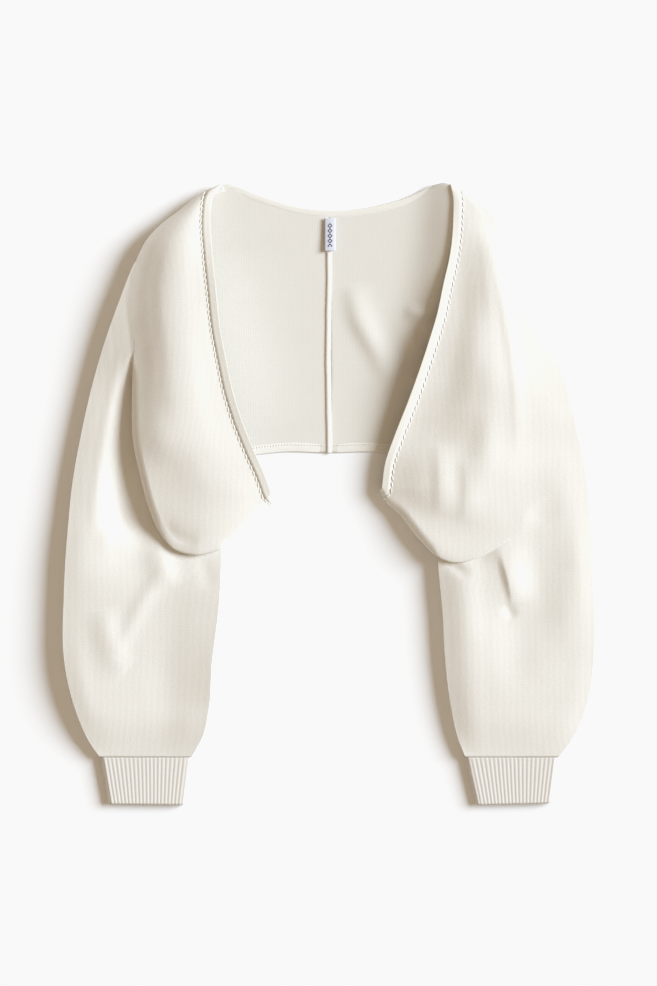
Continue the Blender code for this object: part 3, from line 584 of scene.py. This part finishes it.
class Front:
    """The front's grid of points, its roll to the floor and its fold over the sleeve."""

    def __init__(self, half):
        self.half = half
        corner = int(np.searchsorted(run_of(half.shoulder), SHOULDER_TOP))
        turn = int(np.searchsorted(half.fold_length, FOLD_TURN[half.side]))
        roll = FOLD_ROLL * half.fold_share(half.fold_length)
        inset = half.fold + normals_right(half.fold) * roll[:, None]
        shoulder_rows = steps_for(half.shoulder[corner:])
        left = evenly(half.shoulder[corner:], shoulder_rows)
        if turn:
            left = np.vstack([left, evenly(inset[: turn + 1], steps_for(inset[: turn + 1]))[1:]])
        edge = smooth_line(FRONT_EDGE[half.side][:-1] + [tuple(inset[-1])])
        dense = patch(
            evenly(half.shoulder[corner::-1], 2 * DENSE), evenly(inset[turn:], 2 * DENSE),
            left, evenly(edge, len(left) - 1),
        )
        columns = max(steps_for(dense[-1]), LEAST_COLUMNS)
        self.plan = np.array([self.with_band(row, edge, columns) for row in dense])
        self.points = half.place(self.plan, half.front_height(self.plan))
        chain = np.vstack([self.plan[0, ::-1], self.plan[1:, 0], self.plan[-1, 1:]])
        last = self.plan.shape[1] - 1
        join = last + shoulder_rows
        self.shoulder_chain = chain[: join + 1]
        self.fold_chain = chain[join:]
        length = run_of(self.fold_chain)
        self.open_at = int(np.argmin(abs(length - JOIN_LENGTH[half.side])))
        self.map = knit_map(self.points * [half.sign, 1, 1])
        edge_map = np.vstack([self.map[0, ::-1], self.map[1:, 0], self.map[-1, 1:]])
        inward = normals_right(self.shoulder_chain)
        edge_heights = np.r_[self.points[0, ::-1, 2], self.points[1:, 0, 2]][: join + 1]
        self.shoulder_roll = half.floor_roll(self.shoulder_chain, inward, edge_heights, FLOOR_LAP)
        self.shoulder_map = strip_map(self.shoulder_roll, edge_map[: join + 1], -inward)
        self.roll = self.fold_roll(length)
        away = -normals_right(self.fold_chain)[self.open_at:]
        self.roll_map = strip_map(self.roll, edge_map[join:][self.open_at:], away)

    @staticmethod
    def with_band(row, edge, columns):
        """A row of the plan with its last quads across the turned edge."""
        away = abs(beside(row, edge)[0])
        length = run_of(row)
        band = np.interp(FRONT_BAND, away[::-1], length[::-1])
        inner = np.linspace(0, band, columns + 1)
        share = np.sin(np.linspace(0, np.pi / 2, BAND_COLUMNS + 1))[1:]
        return at_lengths(row, np.r_[inner, band + (length[-1] - band) * share])

    def return_height(self, plan):
        """How high the return lies: on what is below it, and clear of the front's face."""
        half = self.half
        return np.minimum(half.under_height(plan), half.front_height(plan) - FOLD_ROOM)

    def fold_roll(self, length):
        """The fold's strip: half a turn down past the edge, then back under the front."""
        half = self.half
        chain = self.fold_chain[self.open_at:]
        away = -normals_right(self.fold_chain)[self.open_at:]
        share = half.fold_share(length[self.open_at:])[:, None]
        top = half.front_height(chain)
        strip = []
        first = math.radians(FLANK_SLOPE)
        for turn in np.linspace(first, np.pi, ROLL_STEPS):
            reach = np.sin(turn)
            if turn < np.pi / 2:
                reach = (reach - np.sin(first)) / (1 - np.sin(first))
            plan = chain + away * FOLD_ROLL * share * reach
            drop = np.clip(top - self.return_height(plan), 0, None) / (1 + np.cos(first))
            strip.append(half.place(plan, top - drop * (np.cos(first) - np.cos(turn))))
        for step in range(1, RETURN_STEPS + 1):
            plan = chain - away * FOLD_RETURN * share * step / RETURN_STEPS
            strip.append(half.place(plan, np.minimum(self.return_height(plan), top)))
        return np.array(strip)


class Sleeve:
    """The sleeve's tube: upper wall, lower wall on the floor and the rolls that join them."""

    def __init__(self, half, front):
        joined = front.fold_chain[: front.open_at + 1]
        armhole = smooth_line([tuple(joined[-1])] + ARMHOLE[half.side])
        armhole = evenly(armhole, steps_for(armhole))
        rows = steps_for(half.sleeve_outer)
        outer, inner = evenly(half.sleeve_outer, rows), evenly(half.inner, rows)
        top = np.vstack([joined, armhole[1:]])
        plan = patch(top, evenly(np.array([outer[-1], inner[-1]]), len(top) - 1), outer, inner)
        height = half.sleeve_height(plan)
        height[0, : len(joined)] = half.front_height(joined)
        self.top = half.place(plan, height)
        self.map = knit_map(self.top * [half.sign, 1, 1])
        from_outer, from_inner = normals_right(outer), -normals_right(inner)
        self.outer_roll = half.floor_roll(outer, from_outer, height[:, 0])
        self.outer_map = strip_map(self.outer_roll, self.map[:, 0], -from_outer)
        self.inner_roll = half.floor_roll(inner, from_inner, height[:, -1])
        self.inner_map = strip_map(self.inner_roll, self.map[:, -1], -from_inner)
        outer_floor, inner_floor = self.outer_roll[-1][:, :2], self.inner_roll[-1][:, :2]
        across = np.linspace(0, 1, FLOOR_COLUMNS)[None, :, None]
        floor = outer_floor[:, None] * (1 - across) + inner_floor[:, None] * across
        self.floor = np.concatenate([floor, np.zeros(floor.shape[:2] + (1,))], axis=2)
        self.opening = np.array([outer_floor[0], inner_floor[0]]) * [half.sign, 1]
        self.cuff_corners = outer[-1], inner[-1]


def stockinette(name, colour, groove_shade, purl=False, wale=2.6, course=2.1, depth=0.3):
    """Jersey on the flat cloth's own map: rows of V stitches, or of bars on the wrong side, with
    painted shade darkening the grooves between them.
    """
    material, shader, start = new_material(
        name, 0.92, Sheen_Weight=0.25, Sheen_Roughness=0.6, Specular_IOR_Level=0.2,
    )
    cloth = start.node("ShaderNodeUVMap", {"uv_map": "UVMap"}, {})
    across = start.node("ShaderNodeSeparateXYZ", {}, {"Vector": cloth}, 0)
    along = start.node("ShaderNodeSeparateXYZ", {}, {"Vector": cloth}, 1)
    place = start.node("ShaderNodeTexCoord", {}, {}, 3)
    drift = noise(start, place, 70.0) - 0.5
    column = across * (1000 / wale) + drift * 0.35
    row = along * (1000 / course) + drift * 0.35
    off_middle = (column.of("FRACT") - 0.5).of("ABSOLUTE")
    beat = (row + off_middle * (-0.9 if purl else 1.7)) * (2 * math.pi)
    wave = beat.of("COSINE") * 0.5 + 0.5
    if purl:
        bar = 1 - off_middle * off_middle * 3
        stitch = bar * (0.35 + 0.65 * wave)
    else:
        lean = off_middle * 4 - 1
        leg = 1 - lean * lean
        stitch = leg * (0.55 + 0.45 * wave)
    fuzz = noise(start, place, 2600.0, 3.0)
    grain = noise(start, place, 620.0, 3.0)
    mottle = noise(start, place, 26.0, 3.0)
    # Colour: low stitch values give the darker second colour, which is painted shade in the grooves
    # between stitches; fuzz, grain and mottle are random tone of the yarn.
    tone_and_groove_shade = stitch * 0.5 + fuzz * 0.3 + grain * 0.5 + mottle * 0.4 - 0.35
    tone_and_groove_shade = tone_and_groove_shade.of("MINIMUM", 1.0).of("MAXIMUM", 0.0)
    feed(tone_and_groove_shade.mix((*groove_shade, 1), (*colour, 1)), shader, "Base Color")
    relief = stitch * 0.7 + fuzz * 0.5 + grain * 1.1 + mottle * 0.4
    values = {"Strength": 0.55, "Distance": depth * MM, "Height": relief}
    feed(start.node("ShaderNodeBump", {}, values), shader, "Normal")
    return material


# Its second colour is painted shade for the stitch grooves.
knit = stockinette("face_knit", (0.925, 0.898, 0.84), (0.855, 0.822, 0.75))
halves, fronts, sleeves = {}, {}, {}
for side in ("left", "right"):
    half = halves[side] = Half(side)
    front = fronts[side] = Front(half)
    sleeve = sleeves[side] = Sleeve(half, front)
    work = bmesh.new()
    lay(work, front.points, front.map)
    lay(work, front.shoulder_roll, front.shoulder_map)
    lay(work, front.roll, front.roll_map)
    lay(work, sleeve.top, sleeve.map)
    lay(work, sleeve.outer_roll, sleeve.outer_map)
    lay(work, sleeve.inner_roll, sleeve.inner_map)
    lay(work, sleeve.floor, sleeve.floor[..., :2])
    piece = finish_sheet(
        "half_" + side, work, knit, CLOTH, ["front_" + side, "sleeve_" + side],
    )

# The back panels
# The same jersey, lying on the table with its wrong side up: fine cross bars instead of V
# stitches. Each runs from the centre back seam out to the shoulder's roll and the underarm.

NECK_EDGE = {
    "left": [(0, 312), (20, 314), (42, 318), (58, 323), (73, 328), (86, 333), (95, 336.8),
             (104, 340), (111, 341.2), (117, 340)],
    "right": [(0, 312), (24, 313), (46, 316), (68, 321), (84, 326), (98, 332), (109, 337.2),
              (119, 340.8), (128, 342), (134, 340)],
}
HEM_EDGE = [(0, 46), (60, 46), (92, 40), (118, 24)]
SEAM_GAP = 0.3
CORNER_LAP = 34.0  # how far the back runs out to the outline beside the neck
BACK_CLOTH = 1.4
BACK_ROWS, BACK_COLUMNS = 96, 48
BACK_FOLDS = {
    "left": [
        ([(136, 262), (122, 170), (96, 62)], 40, 46, 4.5),
    ],
    "right": [
        ([(25, 232), (32, 194), (50, 160), (68, 126)], 15, 9, 3.4),
        ([(142, 420), (141, 330), (134, 262), (112, 160)], 22, 28, 10.5),
        ([(84, 203), (98, 199), (116, 196)], 7, 7, 3.0),
        ([(86, 166), (98, 160), (110, 154)], 7, 7, 3.0),
        ([(88, 128), (96, 122), (104, 116)], 6, 6, 2.0),
    ],
}


def back_plan(half, front, opening):
    """The plan of one back panel, inside the shoulder fold and the sleeve's opening."""
    shoulder = front.shoulder_chain
    inset = (EDGE_RADIUS + FLOOR_LAP + SEAM_GAP) * ramp(run_of(shoulder) / CORNER_LAP)
    shoulder = shoulder + normals_right(shoulder) * inset[:, None]
    along = opening[1] - opening[0]
    across = np.array([along[1], -along[0]]) / np.linalg.norm(along)
    underarm = opening[1] + across * SEAM_GAP
    outer = np.vstack([shoulder, underarm])
    neck, hem = np.array(NECK_EDGE[half.side], float), np.array(HEM_EDGE, float)
    neck[-1], hem[-1] = outer[0], underarm
    neck, hem = smooth_line(neck), smooth_line(hem)
    return patch(
        evenly(neck, BACK_COLUMNS), evenly(hem, BACK_COLUMNS),
        evenly(np.array([neck[0], hem[0]]), BACK_ROWS), evenly(outer, BACK_ROWS),
    )


def back_rise(side, plan):
    """How far the panel lifts off the floor in its folds."""
    return np.clip(fold_relief(plan, BACK_FOLDS[side]), 0, None)


# Its second colour is painted shade for the stitch grooves.
inside_knit = stockinette(
    "inside_knit", (0.83, 0.80, 0.738), (0.765, 0.728, 0.652), purl=True, depth=0.16,
)
backs = {}
for side in ("left", "right"):
    half = halves[side]
    plan = backs[side] = back_plan(half, fronts[side], sleeves[side].opening)
    points = half.place(plan, back_rise(side, plan) + BACK_CLOTH)
    work = bmesh.new()
    lay(work, points, knit_map(points))
    piece = finish_sheet(
        "back_panel_" + side, work, inside_knit, BACK_CLOTH, ["back_" + side],
    )

# The centre back seam
# The two halves are linked together here with the allowances turned to the inside, so the
# seam stands up as a soft round cord of knit, a little uneven where the yarn pulls.

SEAM_RIDGE, SEAM_HEIGHT = 5.6, 1.7
SEAM_MIDDLE = 1.5  # height of the cord's middle
SEAM_AROUND = 12.0  # length of the cloth round the cord
SEAM_SIDES, SEAM_ROWS = 18, 150
NECK_BAND = 8.0
# Its second colour is painted shade for the stitch grooves.
seam_knit = stockinette("seam_knit", (0.93, 0.90, 0.835), (0.85, 0.80, 0.715), wale=1.6, course=2.0)


def strip_cloth(across, along):
    """The flat cloth of a plain strip: its columns lie at `across` and its rows at `along`."""
    return np.stack(np.broadcast_arrays(across[None, :], along[:, None]), axis=-1)


def ring_sheet(work, rings, around, along):
    """A closed tube of cloth: a grid whose last column meets its first."""
    rings = np.concatenate([rings, rings[:, :1]], axis=1)
    lay(work, rings, strip_cloth(around, along))


top = NECK_EDGE["left"][0][1] - NECK_BAND - 1.5
bottom = HEM_EDGE[0][1] - 0.5
ups = np.linspace(top, bottom, SEAM_ROWS + 1)
turn = np.linspace(0, 2 * np.pi, SEAM_SIDES + 1)[:-1]
rings = []
for up in ups:
    wobble = 0.6 * np.sin(up * 0.031) + 0.12 * np.sin(up * 0.11 + 1)
    width = SEAM_RIDGE / 2 * (1 + 0.03 * np.sin(up * 0.23) + 0.03 * np.sin(up * 0.71))
    across = width * np.cos(turn) * (1 + 0.12 * np.sin(turn)) + wobble
    height = SEAM_MIDDLE + np.clip(np.sin(turn), -0.2, 1) * SEAM_HEIGHT
    height = height - 0.5 * np.exp(-((across - wobble - 0.9) / 0.55) ** 2) * (np.sin(turn) > 0)
    rings.append(np.stack([across, np.full(len(turn), up), height], axis=1))
work = bmesh.new()
ring_sheet(work, np.array(rings), np.linspace(0, SEAM_AROUND, SEAM_SIDES + 1), ups)
bmesh.ops.remove_doubles(work, verts=work.verts, dist=WELD)
bmesh.ops.holes_fill(work, edges=work.edges, sides=0)
bmesh.ops.recalc_face_normals(work, faces=work.faces)
add_piece("centre_seam", work, seam_knit, ["centre_back_seam"])

# The cuffs
# Deep bands of two by two rib, linked to the gathered ends of the sleeves. They lie flat as
# tubes: the ribs stand up side by side and fan out a little towards the sleeve.

CUFF_HEM = {
    "left": ((242, -339.5), (157, -340.5)),
    "right": ((246, -338.5), (162, -340.5)),
}
CUFF_RISE, CUFF_TAPER = 10.5, 1.5
CUFF_LENGTH, CUFF_ROWS = 52.0, 26
RIB_PITCH, RIB_DEPTH, RIB_WALL = 4.1, 0.42, 1.2
RIBS, POINTS_A_RIB = 46, 8


def rib_lift(at):
    """The height of the ribs at a distance round the cuff: round ridges, narrow furrows."""
    wave = 0.5 + 0.5 * np.cos(2 * np.pi * at / RIB_PITCH)
    return RIB_DEPTH * wave**0.75


def cuff_rings(outer_top, inner_top, outer_hem, inner_hem):
    """The cuff's rings from the sleeve to the hem, and the lengths round the first one."""
    rings, lengths = [], []
    for share in np.arange(CUFF_ROWS + 1) / CUFF_ROWS:
        drop = share + 0.05 * np.sin(np.pi * share)
        outer = outer_top * (1 - drop) + outer_hem * drop
        inner = inner_top * (1 - drop) + inner_hem * drop
        rise = CUFF_RISE - CUFF_TAPER * share
        width = np.linalg.norm(outer - inner)
        radius = (rise - RIB_DEPTH) / 2
        straight = width - 2 * (radius + RIB_DEPTH)
        bend = np.pi * radius
        whole = 2 * (bend + straight)
        at = np.linspace(0, whole, RIBS * POINTS_A_RIB + 1)[:-1]
        angle = -np.pi / 2 - np.clip(at / radius, 0, np.pi)
        angle -= np.clip((at - bend - straight) / radius, 0, np.pi)
        normal = np.stack([np.cos(angle), np.sin(angle)], axis=1)
        centre = np.clip(at - bend, 0, straight) - np.clip(at - 2 * bend - straight, 0, straight)
        ring = np.stack([centre + radius + RIB_DEPTH, np.full(len(at), radius)], axis=1)
        ring = ring + radius * normal
        fade = 0.35 + 0.65 * np.clip((normal[:, 1] + 1) / 1.2, 0, 1)
        gathered = 0.55 + 0.45 * ramp(share / 0.1)
        lean = 0.5 * np.sin(at * 0.11 + share * 2.0) * (1 - share)
        lift = rib_lift((at + lean) * RIBS * RIB_PITCH / whole) * fade * gathered
        lift = lift * (1 - 0.35 * np.clip((share - 0.96) / 0.04, 0, 1))
        section = ring + normal * lift[:, None]
        plan = inner + (outer - inner) * (section[:, :1] / width)
        rings.append(np.column_stack([plan, np.clip(section[:, 1], 0, None)]))
        lengths.append(at)
    return np.array(rings), lengths[0]


# Its second colour is painted shade for the stitch grooves.
rib_knit = stockinette("rib_knit", (0.81, 0.775, 0.722), (0.74, 0.70, 0.635), wale=2.05, course=2.1)
for side in ("left", "right"):
    half = halves[side]
    outer, inner = sleeves[side].cuff_corners
    hem_outer, hem_inner = np.array(CUFF_HEM[side], float)
    rings, around = cuff_rings(outer, inner, hem_outer, hem_inner)
    around = np.r_[around, around[-1] + around[1]]
    rings[..., 0] *= half.sign
    work = bmesh.new()
    ring_sheet(work, rings, around, np.linspace(CUFF_LENGTH, 0, CUFF_ROWS + 1))
    piece = finish_sheet("rib_cuff_" + side, work, rib_knit, RIB_WALL, ["cuff_" + side])

# The turned edges of the fronts
# The front edge is folded over and linked down with a chain of large stitches, which leaves a
# flat double band with a groove and a row of raised loops along its inner side.

EDGE_RISE = 1.3
EDGE_PROFILE = (0.06, 0.4, 0.72, 0.95, 1.0)  # the band's rise towards its lip
LIP_OUT, LIP_TOP, LIP_FOOT = 0.25, 1.2, 2.2  # the lip's reach, and how far it rises and falls
TIP_ROWS = 7  # rows of the fold's roll that the band follows round the tip
EDGE_CLOTH = 0.9
FRONT_STITCH, FRONT_PITCH, FRONT_LEAN = (6.0, 1.7, 0.9), 6.8, 0.22
# Its second colour is painted shade for the stitch grooves.
edge_knit = stockinette(
    "edge_knit", (0.92, 0.892, 0.82), (0.84, 0.80, 0.715), wale=2.1, course=2.6,
)
stitch_yarn, shader, start = new_material("stitch_yarn", 0.85, Sheen_Weight=0.3)
place = start.node("ShaderNodeTexCoord", {}, {}, 3)
fuzz = noise(start, place, 1800.0)
feed(fuzz.mix((0.85, 0.82, 0.76, 1), (0.93, 0.915, 0.87, 1)), shader, "Base Color")
values = {"Strength": 0.5, "Distance": 0.0003, "Height": fuzz}
feed(start.node("ShaderNodeBump", {}, values), shader, "Normal")


def surface_normals(grid):
    normal = np.cross(np.gradient(grid, axis=0), np.gradient(grid, axis=1))
    normal /= np.maximum(np.linalg.norm(normal, axis=2)[..., None], 1e-9)
    return normal * np.sign(normal[len(grid) // 2, grid.shape[1] // 2, 2])


def stitches(name, places, along, normal, size, lean):
    """A row of yarn loops: long beads that lie along a line, each leaning a little across."""
    work = bmesh.new()
    across = np.cross(normal, along)
    for spot, run, up, over in zip(places, along, normal, across):
        run = run * math.cos(lean) + over * math.sin(lean)
        over = np.cross(up, run)
        frame_of = Matrix(np.column_stack([run, over, up]).tolist()).to_4x4()
        shape = Matrix.Diagonal((size[0] * MM, size[1] * MM, size[2] * MM, 1))
        bmesh.ops.create_uvsphere(
            work, u_segments=8, v_segments=6, radius=0.5,
            matrix=Matrix.Translation(Vector(spot * MM)) @ frame_of @ shape,
        )
    return add_piece(name, work, stitch_yarn)


def along_chain(points, spacing):
    """Evenly spaced places along a chain in space, the direction at each and its length."""
    at = np.arange(spacing / 2, run_of(points)[-1], spacing)
    run = at_lengths(points, at + 0.5) - at_lengths(points, at - 0.5)
    return at_lengths(points, at), run / np.linalg.norm(run, axis=1)[:, None], at


for side in ("left", "right"):
    front = fronts[side]
    tip = front.roll[1:TIP_ROWS, -(BAND_COLUMNS + 1):]
    grid = np.concatenate([front.points[:, -(BAND_COLUMNS + 1):], tip])
    normal = surface_normals(grid)
    profile = np.array(EDGE_PROFILE) * EDGE_RISE
    hold = np.r_[np.ones(len(front.points)), np.linspace(0.6, 0.0, len(tip))][:, None]
    band = grid + normal * (profile[None, :] * hold)[..., None]
    edge_out = band[:, -1] - band[:, -2]
    edge_out /= np.linalg.norm(edge_out, axis=1)[:, None]
    lip = grid[:, -1] + (edge_out * LIP_OUT + normal[:, -1] * LIP_TOP) * hold
    foot = grid[:, -1] + (edge_out * LIP_OUT - normal[:, -1] * LIP_FOOT) * hold
    band = np.concatenate([band, lip[:, None], foot[:, None]], axis=1)
    work = bmesh.new()
    lay(work, band, strip_cloth(run_of(band[len(band) // 2]), run_of(band[:, 0])))
    piece = finish_sheet(
        "front_edge_" + side, work, edge_knit, EDGE_CLOTH, ["front_band_" + side],
    )
    chain = grid[:, 0] + (grid[:, 0] - grid[:, 1]) * 0.2 + normal[:, 0] * 0.25
    spots, run, at = along_chain(chain, FRONT_PITCH)
    up = read_along(run_of(chain), normal[:, 0], at)
    up -= (up * run).sum(1)[:, None] * run
    up /= np.linalg.norm(up, axis=1)[:, None]
    lean = FRONT_LEAN * halves[side].sign
    loops = stitches("front_stitches_" + side, spots, run, up, FRONT_STITCH, lean)
    "half_" + side

# The neck band and the hem
# The neck edge is bound with a narrow strip of the same knit, and the hem is turned up once and
# linked down, so a dotted row of stitches shows just above its edge.

BAND_RISE = 0.25
NECK_ENDS = 9.0  # the neck band stops this far short of the corners
BAND_FADE = 24.0
BAND_CLOTH = 0.8
HEM_BAND = 10.5
HEM_STITCH, HEM_PITCH, HEM_LEAN = (1.9, 1.3, 0.9), 3.1, 0.9


def flat_band(name, line, inward, width, node, base):
    """A narrow band along an edge of the back, rounded over the edge and thinner inside."""
    across = np.array([-0.4, 0.0, 0.25, 1.0, 0.5 * width, width - 3, width - 0.8, width + 0.2])
    lift = np.array([-1.6, -0.3, 0.2, BAND_RISE, BAND_RISE, 0.8 * BAND_RISE, -0.1, -0.6])
    run = run_of(line)
    to_end = np.minimum(run, run[-1] - run)
    fade = ramp(to_end / BAND_FADE)[:, None]
    reach = np.where(across < 0, across * fade, across)
    plan = line[:, None] + inward[:, None] * reach[..., None]
    height = (1.3 + base[:, None] + (lift[None, :] + 0.25) * fade)[..., None]
    band = np.concatenate([plan, height], axis=2)
    work = bmesh.new()
    lay(work, band, strip_cloth(across, run))
    return finish_sheet(name, work, knit, BAND_CLOTH, [node]), band


line = np.vstack([backs["left"][0][::-1] * [-1, 1], backs["right"][0][1:]])
rise = np.r_[back_rise("left", backs["left"][0])[::-1], back_rise("right", backs["right"][0])[1:]]
length = run_of(line)
kept = (length > NECK_ENDS) & (length < length[-1] - NECK_ENDS)
line, rise = line[kept], rise[kept]
neck, band = flat_band("neck_binding", line, normals_right(line), NECK_BAND, "neck_band", rise)
for side in ("left", "right"):
    half = halves[side]
    line = backs[side][-1][1:-1]
    inward = -normals_right(line)
    rise = back_rise(side, line)
    line = line * [half.sign, 1]
    inward = inward * [half.sign, 1]
    hem, band = flat_band("hem_" + side, line, inward, HEM_BAND, "hem_band_" + side, rise)
    spots, run, at = along_chain(band[:, -3] + [0, 0.4, 0.2], HEM_PITCH)
    up = np.tile([0.0, 0.0, 1.0], (len(spots), 1))
    loops = stitches("hem_stitches_" + side, spots, run, up, HEM_STITCH, HEM_LEAN)
    "back_panel_" + side

# The label
# A strip of woven satin, folded to a loop and sewn in under the neck band. It stands a little
# off the cloth. Only a plain row of woven diamonds is on it.

LABEL_WIDTH, LABEL_LENGTH = 12.0, 36.0
LABEL_OUT, LABEL_TILT = 1.6, 0.03
LABEL_BASE, LABEL_LIFT = 3.7, 0.9  # height of its sewn end, and how much higher the loop lies
LABEL_BEND = 0.6  # radius of the loop
LABEL_CLOTH = 0.35
MARKS_START, MARKS_END = 5.1, 31.5  # where the diamonds are, from the sewn end
DIAMOND_PITCH, DIAMOND_REACH, DIAMOND_LINE = 5.6, 2.15, 0.72
label_top = NECK_EDGE["left"][0][1] - NECK_BAND - 0.3
label_end = label_top - (LABEL_LENGTH - LABEL_BEND)
lower = [
    (label_top - (LABEL_LENGTH - LABEL_BEND) * share, LABEL_BASE + LABEL_LIFT * share**2)
    for share in np.linspace(0, 1, 25)
]
bend = [
    (label_end - LABEL_BEND * np.cos(turn),
     LABEL_BASE + LABEL_LIFT + LABEL_BEND * (1 + np.sin(turn)))
    for turn in np.linspace(-np.pi / 2, np.pi / 2, 14)[1:-1]
]
upper = [
    (up, height + 2 * LABEL_BEND * (0.6 + 0.4 * (label_top - up) / LABEL_LENGTH))
    for up, height in lower
]
profile = np.array(lower + bend + upper[::-1])
across = np.linspace(-0.5, 0.5, 9) * LABEL_WIDTH
grid = np.array([
    [
        (x + LABEL_OUT, up + x * LABEL_TILT, height + 0.25 * np.cos(2 * np.pi * x / 15))
        for x in across
    ]
    for up, height in profile
])
length = run_of(profile)

satin, shader, start = new_material("label_satin", 0.42, Sheen_Weight=0.1, Specular_IOR_Level=0.5)
cloth = start.node("ShaderNodeUVMap", {"uv_map": "UVMap"}, {})
across_cloth = start.node("ShaderNodeSeparateXYZ", {}, {"Vector": cloth}, 0)
along_cloth = start.node("ShaderNodeSeparateXYZ", {}, {"Vector": cloth}, 1)
weft = (along_cloth * 9000).of("SINE")
warp = (across_cloth * 7000).of("SINE")
weave = weft * 0.5 + warp * 0.35
step = (along_cloth * (1000 / DIAMOND_PITCH)).of("FRACT") - 0.5
reach = step.of("ABSOLUTE") * DIAMOND_PITCH + across_cloth.of("ABSOLUTE") * 1000
on_line = (reach - DIAMOND_REACH).of("ABSOLUTE").of("LESS_THAN", DIAMOND_LINE)
past_end = along_cloth.of("GREATER_THAN", (length[-1] - MARKS_END) * MM)
before_start = along_cloth.of("LESS_THAN", (length[-1] - MARKS_START) * MM)
mark = on_line * past_end * before_start
ground = (weave * 0.5 + 0.5).mix((0.68, 0.71, 0.81, 1), (0.77, 0.79, 0.87, 1))
values = {"Factor": mark, 6: ground, 7: (0.025, 0.03, 0.07, 1)}
feed(start.node("ShaderNodeMix", {"data_type": "RGBA"}, values, 2), shader, "Base Color")
values = {"Strength": 0.4, "Distance": 0.0001, "Height": weave}
feed(start.node("ShaderNodeBump", {}, values), shader, "Normal")
work = bmesh.new()
lay(work, grid, strip_cloth(across, length))
label = finish_sheet("woven_label", work, satin, LABEL_CLOTH, ["label"])
